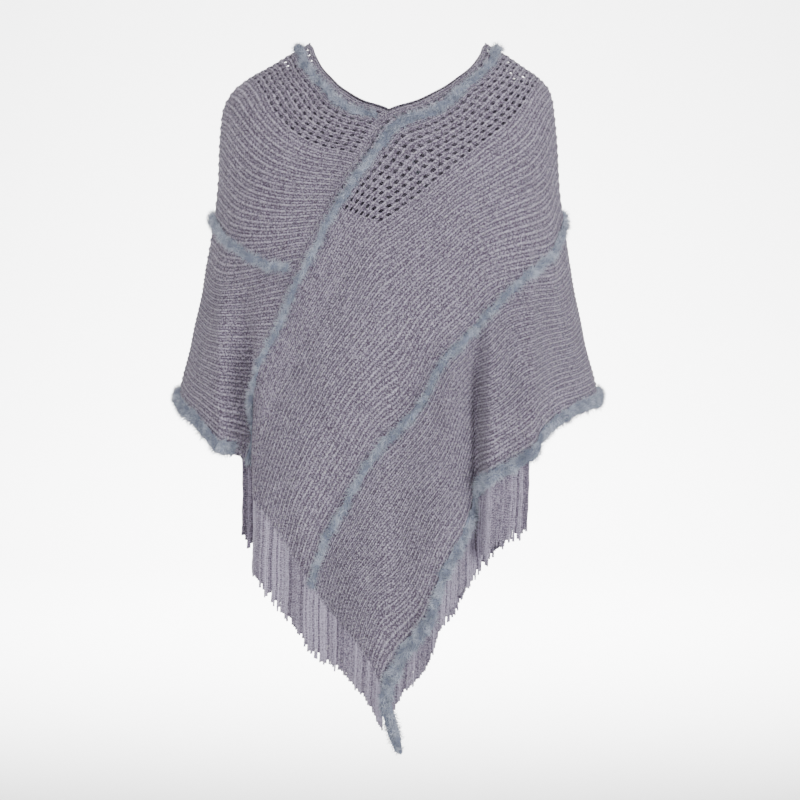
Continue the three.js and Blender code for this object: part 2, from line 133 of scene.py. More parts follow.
# Fur strips: piece, CAD node, span across as shares of the panel's width, height in millimetres, and the share
# of its length where it starts. The outer strip starts before the panel, as a free tail.
STRIPS = (
    ("neck_strip", "inner_fur", (0.031, 0.051), 2.4, 0.002),
    ("middle_strip", "middle_fur", (0.54, 0.56), 2.8, 0.002),
    ("hem_strip", "hem_fur", (0.982, 1.008), 2.8, -0.09),
)
STRIP_END = 0.99
STRIP_LIFT = 1.6  # millimetres out of the cloth
HAIR_RADIUS = 0.00042
HAIR_LEAN = 4.6

# Fringe: how long it is along an edge, as a share of a full strand
END_CUT = np.array([(0, 0.5), (0.2, 0.6), (0.45, 0.86), (1, 1.04)])  # from the point to the seam
EDGE_CUT = np.array([(0, 0.46), (0.25, 0.52), (0.5, 0.68), (0.7, 0.87), (1, 0.95)])  # from the point to the arm
EDGE_FRINGE_TO = 0.49
FRINGE_DEPTH = 0.8  # millimetres into the cloth, where a strand starts
STRAND_SWAY = 0.012

# The plain border's one row of holes, as shares of the panel's width
BORDER_NET = (0.017, 0.035)

# The setting
FLOOR_HEIGHT = -1.5
VIEW_DISTANCE = 5.0
VIEW_WIDTH = 1.024  # metres that the picture spans at that distance
VIEW_TARGET = (0.015, -0.06, -0.454)
VIEW_RISE = 0.474  # of the camera above its target
LIGHTS = (  # name, place, size, watts, colour
    ("key", (-1.3, -4.2, 1.9), 2.2, 102, (1, 0.985, 0.97)),
    ("fill", (3.3, -2.8, 0.1), 2.4, 106, (0.97, 0.98, 1)),
    ("top", (0.0, 0.4, 3.2), 2.6, 36, (1, 1, 1)),
    ("back", (0.6, 3.0, 1.4), 3.0, 22, (1, 1, 1)),
)


# The cloth's shape


def read(table, at, column=1):
    """One column of a table at places between its rows, on a smooth curve with no overshoot."""
    x, y = table[:, 0], table[:, column]
    width, rise = np.diff(x), np.diff(y)
    slope = rise / width
    tangent = np.empty(len(x))
    tangent[0], tangent[-1] = slope[0], slope[-1]
    before, after = slope[:-1], slope[1:]
    total = np.where(before + after == 0, 1, before + after)
    tangent[1:-1] = np.where(before * after <= 0, 0, 2 * before * after / total)
    at = np.asarray(at, dtype=float)
    i = np.clip(np.searchsorted(x, at, side="left") - 1, 0, len(x) - 2)
    u = (at - x[i]) / width[i]
    a, b = tangent[i] * width[i], tangent[i + 1] * width[i]
    curve = y[i] + u * a + u * u * (3 * rise[i] - 2 * a - b) + u ** 3 * (a + b - 2 * rise[i])
    low = y[0] + slope[0] * (at - x[0])
    high = y[-1] + slope[-1] * (at - x[-1])
    return np.where(at <= x[0], low, np.where(at >= x[-1], high, curve))


def smooth(u):
    """0 below 0, 1 above 1, smooth between them."""
    v = np.clip(u, 0, 1)
    return v * v * (3 - 2 * v)


def fold_out(across, height):
    """How far the folds move the cloth outwards."""
    out = np.zeros_like(across)
    for start, hem, left, right, by, top, full in FOLDS:
        grown = smooth((height - top) / (full - top))
        middle = start + (hem - start) * grown
        far = (across - middle) / np.where(across < middle, left, right)
        out += by * grown * np.exp(-far * far)
    return out


def body_point(angle, drop):
    """Points of the worn cloth in millimetres, before the neck's shift."""
    height, half_width, half_depth, power, plumb = (read(LEVELS, drop, c) for c in range(1, 6))
    c, s = np.cos(np.radians(angle)), np.sin(np.radians(angle))
    spread = np.abs(c) ** (2 / power)
    share = np.minimum(1, plumb * spread / (1 + (plumb - 1) * spread ** PLUMB_WIDTH_POWER))
    deep = np.maximum(0, 1 - share ** power) ** (1 / power)
    x = np.sign(c) * half_width * share
    y = -np.sign(s) * half_depth * deep
    out_x = np.sign(c) * share ** (power - 1) / half_width
    out_y = -np.sign(s) * deep ** (power - 1) / half_depth
    out = fold_out(np.where(y <= 0, x, -x), height) / np.hypot(out_x, out_y)
    return np.stack([x + out_x * out, y + out_y * out, height], axis=-1)


def body_normal(angle, drop, step=0.4):
    """The cloth's outward normals."""
    along = body_point(angle - step, drop) - body_point(angle + step, drop)
    down = body_point(angle, drop + step) - body_point(angle, drop - step)
    normal = np.cross(down, along)
    return normal / np.linalg.norm(normal, axis=-1, keepdims=True)


def inner_edge(share):
    """Angle and drop of the panel's inner edge, which past the shoulder mirrors its first half."""
    past = share > SHOULDER_SHARE
    at = np.where(past, 2 * SHOULDER_SHARE - share, share)
    return np.stack([np.where(past, -1, 1) * read(INNER_EDGE, at, 1), read(INNER_EDGE, at, 2)])


def edge_of(table, at):
    """Angle and drop along an edge that a table gives."""
    return np.stack([read(table, at, 1), read(table, at, 2)])


def sewn_end(across):
    """The sewn end lies along the other panel's inner edge, half a turn round."""
    edge = inner_edge(SEAM_SHARE * (1 - across))
    return np.stack([edge[0] - 180, edge[1]])


def place(share, across):
    """Angle and drop of points of the flat panel. share runs along it, across from its inner edge."""
    share, across = np.broadcast_arrays(np.asarray(share, float), np.asarray(across, float))
    drawn = across + 4 * read(RIB_DRIFT, share) * across * (1 - across)
    inner, outer = inner_edge(np.maximum(0, share)), edge_of(OUTER_EDGE, share)
    near_point = np.exp(-((share - SEAM_SHARE) / 0.16) ** 4) * smooth((across - 0.06) / 0.12)
    around = [inner_edge(np.maximum(0, share + step)) for step in np.linspace(-0.1, 0.1, 7)]
    inner = inner + near_point * (sum(around) / len(around) - inner)
    start, end = np.zeros_like(share), np.ones_like(share)
    near_start, near_end = np.minimum(1, 1 - share), np.maximum(0, share) ** 3

    def left_over(curve, first, last):
        return curve - (1 - drawn) * first - drawn * last

    return (
        (1 - drawn) * inner + drawn * outer
        + near_start * left_over(edge_of(SHORT_END, drawn), inner_edge(start), edge_of(OUTER_EDGE, start))
        + near_end * left_over(sewn_end(drawn), inner_edge(end), edge_of(OUTER_EDGE, end))
    )


def rib_across(share, across):
    """Place across the panel of a rib that is at a given place across at the panel's free end."""
    return across + read(SLEEVE_DRIFT, share) * np.interp(across, *zip(*SLEEVE_WEIGHT))


def worn(points, turned):
    """Turns points to the right half if asked, shifts the neck, draws the back in, and gives metres."""
    p = points * np.array([-1, -1, 1]) if turned else points.copy()
    shift = (p[..., 2] - NECK_SHIFT["from"]) / (NECK_SHIFT["full"] - NECK_SHIFT["from"])
    p[..., 0] += NECK_SHIFT["by"] * smooth(shift)
    low = smooth((p[..., 2] - BACK["from"]) / (BACK["full"] - BACK["from"]))
    p[..., 0] *= 1 - BACK["narrower"] * low * smooth(p[..., 1] / BACK["depth"])
    return p / 1000


def along_edge(across, parts, first=0.0, last=1.0, ribs=False):
    """Shares that divide each line along the panel into equal lengths. One row per place across."""
    fine = np.linspace(first, last, 500)
    rows = []
    for one in np.atleast_1d(across):
        line = body_point(*place(fine, rib_across(fine, one) if ribs else one))
        length = np.concatenate([[0], np.cumsum(np.linalg.norm(np.diff(line, axis=0), axis=1))])
        rows.append(np.interp(np.asarray(parts) * length[-1], length, fine))
    return np.array(rows)


def ripple(along, across):
    """Slight unevenness of hand-worn cloth, in millimetres."""
    return (
        0.9 * np.sin(along * 23 + 3 * across) * np.sin(across * 9 + 1.3)
        + 0.5 * np.sin(along * 47 + across * 17 + 0.7)
        + 0.35 * np.sin(along * 12 - across * 31)
    )


# Shader and geometry nodes


class Value:
    """A node's output, so that sums on it read as arithmetic."""

    def __init__(self, graph, socket):
        self.graph, self.socket = graph, socket

    def _with(self, operation, *others):
        return self.graph.node("ShaderNodeMath", {"operation": operation}, *([self] + list(others)))

    def __add__(self, other):
        return self._with("ADD", other)

    def __sub__(self, other):
        return self._with("SUBTRACT", other)

    def __rsub__(self, other):
        return self.graph.node("ShaderNodeMath", {"operation": "SUBTRACT"}, other, self)

    def __mul__(self, other):
        return self._with("MULTIPLY", other)

    def __truediv__(self, other):
        return self._with("DIVIDE", other)

    __radd__, __rmul__ = __add__, __mul__

    def floor(self):
        return self._with("FLOOR")

    def fract(self):
        return self._with("FRACT")

    def size(self):
        return self._with("ABSOLUTE")

    def ramp(self, low, high):
        """0 below low, 1 above high, smooth between them."""
        settings = {"interpolation_type": "SMOOTHSTEP"}
        return self.graph.node("ShaderNodeMapRange", settings, self, low, high, 0.0, 1.0)


class Graph:
    """A node tree that is built by naming node types, settings and inputs."""

    def __init__(self, tree):
        self.tree = tree
        tree.nodes.clear()

    def node(self, kind, settings=None, *inputs, output=0, **named):
        made = self.tree.nodes.new(kind)
        for key, value in (settings or {}).items():
            setattr(made, key, value)
        for key, value in list(enumerate(inputs)) + list(named.items()):
            if value is None:
                continue
            socket = made.inputs[key.replace("_", " ") if isinstance(key, str) else key]
            if isinstance(value, Value):
                self.tree.links.new(value.socket, socket)
            else:
                socket.default_value = value
        return Value(self, made.outputs[output])

    def out(self, value, name):
        return Value(self, value.socket.node.outputs[name])


def mix_colour(graph, factor, first, second, blend="MIX"):
    """A colour between two, or the second laid over the first."""
    made = graph.tree.nodes.new("ShaderNodeMix")
    made.data_type, made.blend_type = "RGBA", blend
    for index, value in ((0, factor), (6, first), (7, second)):
        if isinstance(value, Value):
            graph.tree.links.new(value.socket, made.inputs[index])
        else:
            made.inputs[index].default_value = value
    return Value(graph, made.outputs[2])


def colour(values):
    return (*values, 1.0)


def new_material(name):
    material = bpy.data.materials.new(name)
    material.use_nodes = True
    return material, Graph(material.node_tree)


def finish_material(graph, base, roughness, normal, sheen, sheen_tint):
    """Ends a material in one cloth-like surface."""
    bsdf = graph.node("ShaderNodeBsdfPrincipled").socket.node
    graph.tree.links.new(base.socket, bsdf.inputs["Base Color"])
    graph.tree.links.new(normal.socket, bsdf.inputs["Normal"])
    bsdf.inputs["Roughness"].default_value = roughness
    bsdf.inputs["Sheen Weight"].default_value = sheen
    bsdf.inputs["Sheen Roughness"].default_value = 0.45
    bsdf.inputs["Sheen Tint"].default_value = sheen_tint
    bsdf.inputs["Specular IOR Level"].default_value = 0.2
    end = graph.tree.nodes.new("ShaderNodeOutputMaterial")
    graph.tree.links.new(bsdf.outputs[0], end.inputs["Surface"])


def knit_material(sizes):
    """Rib knit of a mottled yarn, with a painted highlight on the rib crests and painted shade in the valleys.
    The map counts stitches along a rib and ribs across.
    """
    material, g = new_material("rib_knit")
    count = g.node("ShaderNodeUVMap", {"uv_map": "stitches"})
    split = g.node("ShaderNodeSeparateXYZ", None, count)
    along, across = split, g.out(split, "Y")
    off_ridge = (across.fract() - 0.5).size()
    ridge = 1 - off_ridge * 2
    crest, valley = ridge.ramp(0.6, 1.0), 1 - (ridge - 0.42).size().ramp(0.05, 0.25)
    between = 1 - ridge.ramp(0.0, 0.3)
    slant = along + off_ridge * 1.3
    loop = 1 - ((slant.fract() - 0.5).size() * 2).ramp(0.35, 1.0)
    cell = g.node("ShaderNodeCombineXYZ", None, (slant * 2).floor(), (across * 4).floor(), 0.0)
    lot = g.out(g.node("ShaderNodeTexWhiteNoise", {"noise_dimensions": "3D"}, cell), "Value")
    spot = g.out(g.node("ShaderNodeTexCoord", None), "Object")
    fine = g.node("ShaderNodeTexNoise", None, Vector=spot, Scale=560.0, Detail=3.0, Roughness=0.75)
    fleck = g.node("ShaderNodeTexNoise", None, Vector=spot, Scale=480.0, Detail=1.5)
    wide = g.node("ShaderNodeTexNoise", None, Vector=spot, Scale=9.0, Detail=3.0)
    heather = g.out(fine, 0).ramp(0.38, 0.62)
    # Painted light: the rib crests and their loops, and a little the low rise between ribs, are painted lighter
    # as a highlight, and the valleys darker as painted shade, over the yarn's own random mottling.
    tone = heather * 0.74 + lot * 0.3 + crest * (loop * 0.4 + 0.6) * 0.42 + between * 0.16
    tone = (tone - valley * 0.2 + g.out(wide, 0) * 0.16 - 0.36).ramp(0.0, 1.0)
    base = mix_colour(g, tone, colour(sizes.knit_dark), colour(sizes.knit_light))
    # The plum flecks are the yarn's own colour, but they are set denser off the crests, so they are also painted
    # shade in the valleys.
    plum_fleck_and_valley_shade = g.out(fleck, 0).ramp(0.5, 0.66) * (1 - ridge * 0.6)
    base = mix_colour(g, plum_fleck_and_valley_shade * 0.6, base, colour(sizes.knit_plum_fleck_and_shade))
    # The pale flecks are the yarn's own colour, but they are set stronger on the crests, so they are also a
    # painted highlight.
    pale_fleck_and_crest_highlight = (1 - g.out(fleck, 0)).ramp(0.52, 0.66) * (crest * 0.6 + 0.4)
    base = mix_colour(g, pale_fleck_and_crest_highlight * 0.75, base, colour(sizes.knit_pale_fleck_and_highlight))
    relief = crest * 0.5 + between * 0.3 + loop * (ridge * 0.7 + 0.3) * 0.8 + heather * 0.3
    normal = g.node("ShaderNodeBump", None, Strength=0.75, Distance=0.0016, Height=relief)
    finish_material(g, base, 0.92, normal, 0.25, colour((0.8, 0.78, 0.85)))
    return material


def yarn_material(sizes):
    """Twisted fringe yarn of the same mottled colours, with the raised turns of the twist painted lighter and the
    grooves between them darker and plum, as painted highlight and shade.
    """
    material, g = new_material("fringe_yarn")
    spot = g.out(g.node("ShaderNodeTexCoord", None), "Object")
    own = g.out(g.node("ShaderNodeAttribute", {"attribute_name": "tone"}), "Fac")
    fall = g.out(g.node("ShaderNodeAttribute", {"attribute_name": "fall"}), "Fac")
    twist = ((fall * 42 + own * 17).fract() - 0.5).size() * 2
    fine = g.out(g.node("ShaderNodeTexNoise", None, Vector=spot, Scale=520.0, Detail=3.0, Roughness=0.75), 0)
    # Painted light: the raised turns of the twist are painted lighter and the grooves take plum, as highlight and
    # shade; the strand's own tone and the fine noise are the yarn's mottling.
    tone = (twist.ramp(0.1, 0.9) * 0.24 + own * 0.62 + fine.ramp(0.36, 0.64) * 0.56 - 0.19).ramp(0.0, 1.0)
    base = mix_colour(g, tone, colour(sizes.knit_dark), colour(sizes.knit_light))
    base = mix_colour(g, (1 - twist).ramp(0.5, 1.0) * (1 - own) * 0.5, base, colour(sizes.knit_plum_fleck_and_shade))
    relief = twist * 0.8 + fine * 0.5
    normal = g.node("ShaderNodeBump", None, Strength=0.8, Distance=0.001, Height=relief)
    finish_material(g, base, 0.95, normal, 0.3, colour((0.8, 0.78, 0.85)))
    return material


def fur_material(sizes):
    """Soft blue-grey fur, painted darker at its roots as painted shade among the hairs."""
    material, g = new_material("soft_fur")
    spot = g.out(g.node("ShaderNodeTexCoord", None), "Object")
    own = g.out(g.node("ShaderNodeAttribute", {"attribute_name": "tone"}), "Fac")
    tip = g.out(g.node("ShaderNodeAttribute", {"attribute_name": "tip"}), "Fac")
    clump = g.out(g.node("ShaderNodeTexNoise", None, Vector=spot, Scale=85.0, Detail=3.0), 0)
    # The tips are painted lighter and the roots darker, as painted shade deep among the hairs; the clumps and
    # each hair's own tone vary at random.
    tone = (clump.ramp(0.32, 0.68) * 0.62 + own * 0.3 + tip * 0.6 - 0.3).ramp(0.0, 1.0)
    base = mix_colour(g, tone, colour(sizes.fur_dark), colour(sizes.fur_light))
    normal = g.node("ShaderNodeBump", None, Strength=0.3, Distance=0.0006, Height=clump)
    finish_material(g, base, 0.85, normal, 0.4, colour((0.85, 0.88, 0.95)))
    return material


def node_group(name, inputs):
    """A geometry tree with a Geometry input and output and the named inputs."""
    group = bpy.data.node_groups.new(name, "GeometryNodeTree")
    graph = Graph(group)
    group.interface.new_socket("Geometry", in_out="INPUT", socket_type="NodeSocketGeometry")
    for label, kind in inputs:
        group.interface.new_socket(label, in_out="INPUT", socket_type=kind)
    group.interface.new_socket("Geometry", in_out="OUTPUT", socket_type="NodeSocketGeometry")
    start = group.nodes.new("NodeGroupInput")
    return group, graph, lambda label: Value(graph, start.outputs[label])


def grow(base, group, values):
    """Runs a geometry tree on a piece and leaves a plain mesh in its place."""
    modifier = base.modifiers.new("grow", "NODES")
    modifier.node_group = group
    for item in group.interface.items_tree:
        if item.item_type == "SOCKET" and item.in_out == "INPUT" and item.name in values:
            modifier[item.identifier] = values[item.name]
    bpy.context.view_layer.update()
    evaluated = base.evaluated_get(bpy.context.evaluated_depsgraph_get())
    mesh = bpy.data.meshes.new_from_object(evaluated)
    base.modifiers.remove(modifier)
    old, base.data = base.data, mesh
    bpy.data.meshes.remove(old)
    return base


def random_number(graph, low, high):
    """A random number for each hair or strand. Every one comes from the same draw, so they rise together."""
    made = graph.node("FunctionNodeRandomValue", {"data_type": "FLOAT"}, None, None, low, high)
    return graph.out(made, 1)


def fur_tree():
    """Fur on a strip: leaning, bent hairs in small locks."""
    group, g, given = node_group("fur_hairs", [
        ("Density", "NodeSocketFloat"), ("Hair length", "NodeSocketFloat"), ("Hair radius", "NodeSocketFloat"),
        ("Lean", "NodeSocketFloat"), ("Seed", "NodeSocketInt"), ("Material", "NodeSocketMaterial"),
    ])
    hair = g.node("GeometryNodeMeshCone", {"fill_type": "NONE"})
    cone = hair.socket.node
    cone.inputs["Vertices"].default_value = 3
    cone.inputs["Side Segments"].default_value = 2
    cone.inputs["Radius Top"].default_value = 0.0
    g.tree.links.new(given("Hair radius").socket, cone.inputs["Radius Bottom"])
    g.tree.links.new(given("Hair length").socket, cone.inputs["Depth"])
    spot = g.node("GeometryNodeInputPosition", None)
    height = g.out(g.node("ShaderNodeSeparateXYZ", None, spot), "Z")
    part = height / given("Hair length")
    bent = g.node("ShaderNodeCombineXYZ", None, part * part * given("Hair length") * 0.55, 0.0, 0.0)
    hair = g.node("GeometryNodeSetPosition", None, Geometry=hair, Offset=bent)
    hair = g.node("GeometryNodeStoreNamedAttribute", {"data_type": "FLOAT"}, hair, None, "tip", part)
    scattered = g.node("GeometryNodeDistributePointsOnFaces", None, Mesh=given("Geometry"),
                       Density=given("Density"), Seed=given("Seed"))
    normal = g.out(scattered, "Normal")
    place_at = g.node("GeometryNodeInputPosition", None)
    lock = g.node("ShaderNodeTexNoise", None, Vector=place_at, Scale=75.0, Detail=1.5)
    lock = g.node("ShaderNodeVectorMath", {"operation": "SUBTRACT"}, g.out(lock, "Color"), (0.5, 0.5, 0.5))
    lock = g.node("ShaderNodeVectorMath", {"operation": "SCALE"}, lock, Scale=given("Lean"))
    way = g.node("ShaderNodeVectorMath", {"operation": "ADD"}, normal, lock)
    facing = g.node("FunctionNodeAlignRotationToVector", {"axis": "Z"}, Vector=way)
    twist = g.node("ShaderNodeCombineXYZ", None, 0.0, 0.0, random_number(g, 0.0, math.tau))
    facing = g.node("FunctionNodeRotateRotation", {"rotation_space": "LOCAL"}, facing, twist)
    size = g.node("ShaderNodeCombineXYZ", None, 1.0, 1.0, random_number(g, 0.6, 1.15))
    tone = random_number(g, 0.0, 1.0)
    hairs = g.node("GeometryNodeInstanceOnPoints", None, Points=scattered, Instance=hair, Rotation=facing,
                   Scale=size)
    hairs = g.node("GeometryNodeStoreNamedAttribute", {"data_type": "FLOAT", "domain": "INSTANCE"}, hairs, None,
                   "tone", tone)
    hairs = g.node("GeometryNodeRealizeInstances", None, hairs)
    whole = g.node("GeometryNodeJoinGeometry", None)
    g.tree.links.new(hairs.socket, whole.socket.node.inputs[0])
    g.tree.links.new(given("Geometry").socket, whole.socket.node.inputs[0])
    whole = g.node("GeometryNodeSetMaterial", None, Geometry=whole, Material=given("Material"))
    end = g.tree.nodes.new("NodeGroupOutput")
    g.tree.links.new(whole.socket, end.inputs[0])
    return group


def fringe_tree():
    """Fringe: twisted strands that hang straight down from the points of an edge."""
    group, g, given = node_group("fringe_strands", [
        ("Strand length", "NodeSocketFloat"), ("Strand radius", "NodeSocketFloat"),
        ("Sway", "NodeSocketFloat"), ("Material", "NodeSocketMaterial"),
    ])
    strand = g.node("GeometryNodeMeshCylinder", None)
    shape = strand.socket.node
    shape.inputs["Vertices"].default_value = 6
    shape.inputs["Side Segments"].default_value = 20
    g.tree.links.new(given("Strand radius").socket, shape.inputs["Radius"])
    g.tree.links.new(given("Strand length").socket, shape.inputs["Depth"])
    spot = g.node("GeometryNodeInputPosition", None)
    split = g.node("ShaderNodeSeparateXYZ", None, spot)
    x, y, z = split, g.out(split, "Y"), g.out(split, "Z")
    fallen = 0.5 - z / given("Strand length")
    slim = 1.0 - fallen * 0.22
    flat = g.node("ShaderNodeCombineXYZ", None, x * slim * 1.12, y * slim * 0.8, z - given("Strand length") * 0.5)
    turned = g.node("ShaderNodeVectorRotate", {"rotation_type": "Z_AXIS"}, Vector=flat, Angle=z * 90)
    strand = g.node("GeometryNodeSetPosition", None, Geometry=strand, Position=turned)
    strand = g.node("GeometryNodeStoreNamedAttribute", {"data_type": "FLOAT"}, strand, None, "fall", fallen)
    facing = g.node("ShaderNodeCombineXYZ", None, 0.0, 0.0, random_number(g, 0.0, math.tau))
    long = random_number(g, 0.9, 1.06)
    cut = g.node("GeometryNodeInputNamedAttribute", {"data_type": "FLOAT"}, "cut_length")
    size = g.node("ShaderNodeCombineXYZ", None, 1.0, 1.0, long * cut)
    tone = random_number(g, 0.0, 1.0)
    points = g.node("GeometryNodeMeshToPoints", None, given("Geometry"))
    hung = g.node("GeometryNodeInstanceOnPoints", None, Points=points, Instance=strand, Rotation=facing,
                  Scale=size)
    hung = g.node("GeometryNodeStoreNamedAttribute", {"data_type": "FLOAT", "domain": "INSTANCE"}, hung, None,
                  "tone", tone)
    hung = g.node("GeometryNodeRealizeInstances", None, hung)
    fallen = g.node("GeometryNodeInputNamedAttribute", {"data_type": "FLOAT"}, "fall")
    here = g.node("GeometryNodeInputPosition", None)
    drift = g.node("ShaderNodeTexNoise", None, Vector=here, Scale=9.0, Detail=1.0)
    drift = g.node("ShaderNodeVectorMath", {"operation": "SUBTRACT"}, g.out(drift, "Color"), (0.5, 0.5, 0.5))
    drift = g.node("ShaderNodeVectorMath", {"operation": "MULTIPLY"}, drift, (1.0, 1.0, 0.0))
    drift = g.node("ShaderNodeVectorMath", {"operation": "SCALE"}, drift, Scale=fallen * given("Sway"))
    hung = g.node("GeometryNodeSetPosition", None, Geometry=hung, Offset=drift)
    hung = g.node("GeometryNodeSetMaterial", None, Geometry=hung, Material=given("Material"))
    hung = g.node("GeometryNodeSetShadeSmooth", None, hung)
    end = g.tree.nodes.new("NodeGroupOutput")
    g.tree.links.new(hung.socket, end.inputs[0])
    return group


# Making pieces


def mesh_object(name, points, faces):
    mesh = bpy.data.meshes.new(name)
    mesh.from_pydata([tuple(p) for p in np.asarray(points).reshape(-1, 3)], [], faces)
    mesh.update()
    made = bpy.data.objects.new(name, mesh)
    bpy.context.scene.collection.objects.link(made)
    return made


def grid_faces(rows, columns, keep=None):
    """Four-sided faces of a grid of points, row by row."""
    faces = []
    for i in range(rows - 1):
        for j in range(columns - 1):
            if keep is None or keep[i, j]:
                here, below = i * columns + j, (i + 1) * columns + j
                faces.append((here, below, below + 1, here + 1))
    return faces


def hand_over(piece, node):
    """Puts a piece in the place of its CAD node, which it hides, and gives it its body."""
    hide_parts(node)
    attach(piece, BODY)


def cell_rows(sizes):
    """Rows of points across a panel: place across, lift, rib count and whether holes start there."""
    rows = []
    net_low, net_high = sizes.net_start / PANEL_WIDTH, sizes.net_end / PANEL_WIDTH
    parts = [("plain", 0.0, BORDER_NET[0], 2), ("net", *BORDER_NET, 1),
             ("plain", BORDER_NET[1], net_low, 3), ("net", net_low, net_high, sizes.net_rows),
             ("rib", net_high, 1.0, sizes.ribs)]
    height = sizes.rib_height * 1000
    at_rib = 0
    for kind, low, high, number in parts:
        profile = {
            "plain": ((0, 0.1, False), (0.35, 0.75, False), (0.65, 0.75, False)),
            "net": ((0, 0.15, True), (0.46, 0.6, False), (0.64, 1, False), (0.84, 0.9, False)),
            "rib": ((0, 0.4, False), (0.2, -0.1, False), (0.42, 1, False), (0.58, 1, False), (0.8, -0.1, False)),
        }[kind]
        for i in range(number):
            for part, lift, hole in profile:
                rows.append((low + (high - low) * (i + part) / number, lift * height, at_rib + i + part, hole))
        at_rib += number
    rows.append((1.0, 0.0, at_rib, False))
    return rows


def make_panel(side, turned, sizes, material):
    """One knitted panel: a grid with ribs and holes, which is then given its wall."""
    rows = cell_rows(sizes)
    across = np.array([row[0] for row in rows])
    lift = np.array([row[1] for row in rows])
    ribs = np.array([row[2] for row in rows])
    has_hole = np.array([row[3] for row in rows])
    periods = int(round(PANEL_LENGTH / sizes.hole_pitch))
    parts = np.append((np.arange(periods)[:, None] + np.array([0, 0.5])[None]).ravel() / periods, 1.0)
    shares = along_edge(across, parts, ribs=True)
    spots = place(shares, rib_across(shares, across[:, None]))
    base, normal = body_point(*spots), body_normal(*spots)
    stitches = parts * PANEL_LENGTH / sizes.stitch
    uneven = 0.08 * np.sin(stitches[None] * 2.1 + ribs[:, None] * 1.7) + 0.05 * np.sin(stitches[None] * 5.3)
    holes = has_hole[:, None] & ((np.arange(len(parts)) % 2) == 0)[None]
    first, last = NET_RUN[side]
    holes &= ((parts * PANEL_LENGTH > first) & (parts * PANEL_LENGTH < last))[None]
    out = lift[:, None] * (1 + uneven) + ripple(parts[None] * 2, across[:, None])
    edge_pull = np.minimum(1, np.minimum(parts, 1 - parts) * 40)[None] * smooth(across / 0.05)[:, None]
    out = lift[:, None] + (out - lift[:, None]) * edge_pull
    points = worn(base + normal * out[..., None], turned)
    made = mesh_object(f"{side}_knit", points, grid_faces(len(rows), len(parts), keep=~holes[:-1, :-1]))
    grid = np.stack(np.broadcast_arrays(stitches[None], ribs[:, None]), axis=-1).reshape(-1, 2)
    layer = made.data.uv_layers.new(name="stitches")
    corners = np.empty(len(made.data.loops), dtype=np.int32)
    made.data.loops.foreach_get("vertex_index", corners)
    layer.data.foreach_set("uv", grid[corners].ravel().astype(np.float32))
    wall = made.modifiers.new("wall", "SOLIDIFY")
    wall.thickness, wall.offset, wall.use_even_offset = sizes.wall, -1, False
    bpy.context.view_layer.update()
    mesh = bpy.data.meshes.new_from_object(made.evaluated_get(bpy.context.evaluated_depsgraph_get()))
    made.modifiers.remove(wall)
    made.data = mesh
    mesh.materials.append(material)
    mesh.shade_smooth()
    mesh.set_sharp_from_angle(angle=math.radians(70))
    return made


def strip_base(name, section, turned, first, last, columns=420, tail=False):
    """A rounded strip over the panel. section gives its corners: place across and lift."""
    parts = np.linspace(0, 1, columns)
    shares = along_edge([corner[0] for corner in section], parts, first, last)
    middle = sum(corner[0] for corner in section) / len(section)
    wave = 0.0022 * np.sin(parts * 61) + 0.0018 * np.sin(parts * 143 + 1) + 0.0016 * np.sin(parts * 390)
    puff = 1 + 0.2 * np.sin(parts * 187 + 2) + 0.16 * np.sin(parts * 431) + 0.1 * np.sin(parts * 31)
    rings = []
    for row, (where, lift) in enumerate(section):
        spot = place(shares[row], where + wave)
        rings.append(body_point(*spot) + body_normal(*spot) * (lift * np.where(lift > 2, puff, 1))[..., None])
    if tail:
        rings = hang_tail(np.array(rings), section, middle, shares.mean(axis=0))
    faces = grid_faces(len(section), columns)
    wrap = len(section) - 1
    faces += [(wrap * columns + j, j, j + 1, wrap * columns + j + 1) for j in range(columns - 1)]
    faces.append(tuple(i * columns for i in range(len(section)))[::-1])
    faces.append(tuple(i * columns + columns - 1 for i in range(len(section))))
    return mesh_object(name, worn(np.array(rings), turned), faces)


def hang_tail(rings, section, middle, shares):
    """Turns the loose end of a strip, past the panel's end, so that its flat side faces out."""
    line = rings.mean(axis=0)
    along = np.gradient(line, axis=0)
    along /= np.linalg.norm(along, axis=1, keepdims=True)
    out = line * np.array([0.2, 1, 0])
    out -= (out * along).sum(axis=1, keepdims=True) * along
    out /= np.linalg.norm(out, axis=1, keepdims=True)
    side = np.cross(along, out)
    side *= np.sign((side * (rings[-1] - rings[0])).sum(axis=1, keepdims=True))
    free = smooth(-shares / 0.02)[:, None]
    slim = (1.15 - 0.4 * smooth(-shares / 0.03 - 2))[:, None]
    hung = [line + side * (where - middle) * PANEL_WIDTH * 1000 * slim + out * (lift - 3) * slim
            for where, lift in section]
    return rings * (1 - free) + np.array(hung) * free


def hang_places(spots, count):
    """Places along an edge for strands: nearly even steps sideways, because a strand hangs straight down."""
    steps = np.diff(body_point(*spots), axis=0) * np.array([1, 1, 0.3])
    far = np.concatenate([[0], np.cumsum(np.linalg.norm(steps, axis=1))])
    even = np.linspace(0, far[-1], count)
    return np.stack([np.interp(even, far, spots[0]), np.interp(even, far, spots[1])])


def rounded_section(low, high, base, height, corners=7):
    """Corners of a low dome from one edge to the other, then back along its flat underside."""
    section = []
    for i in range(corners):
        turn = math.pi * i / (corners - 1)
        where = (low + high) / 2 - (high - low) / 2 * math.cos(turn)
        section.append((where, base + height * math.sin(turn) ** 0.7))
    return section


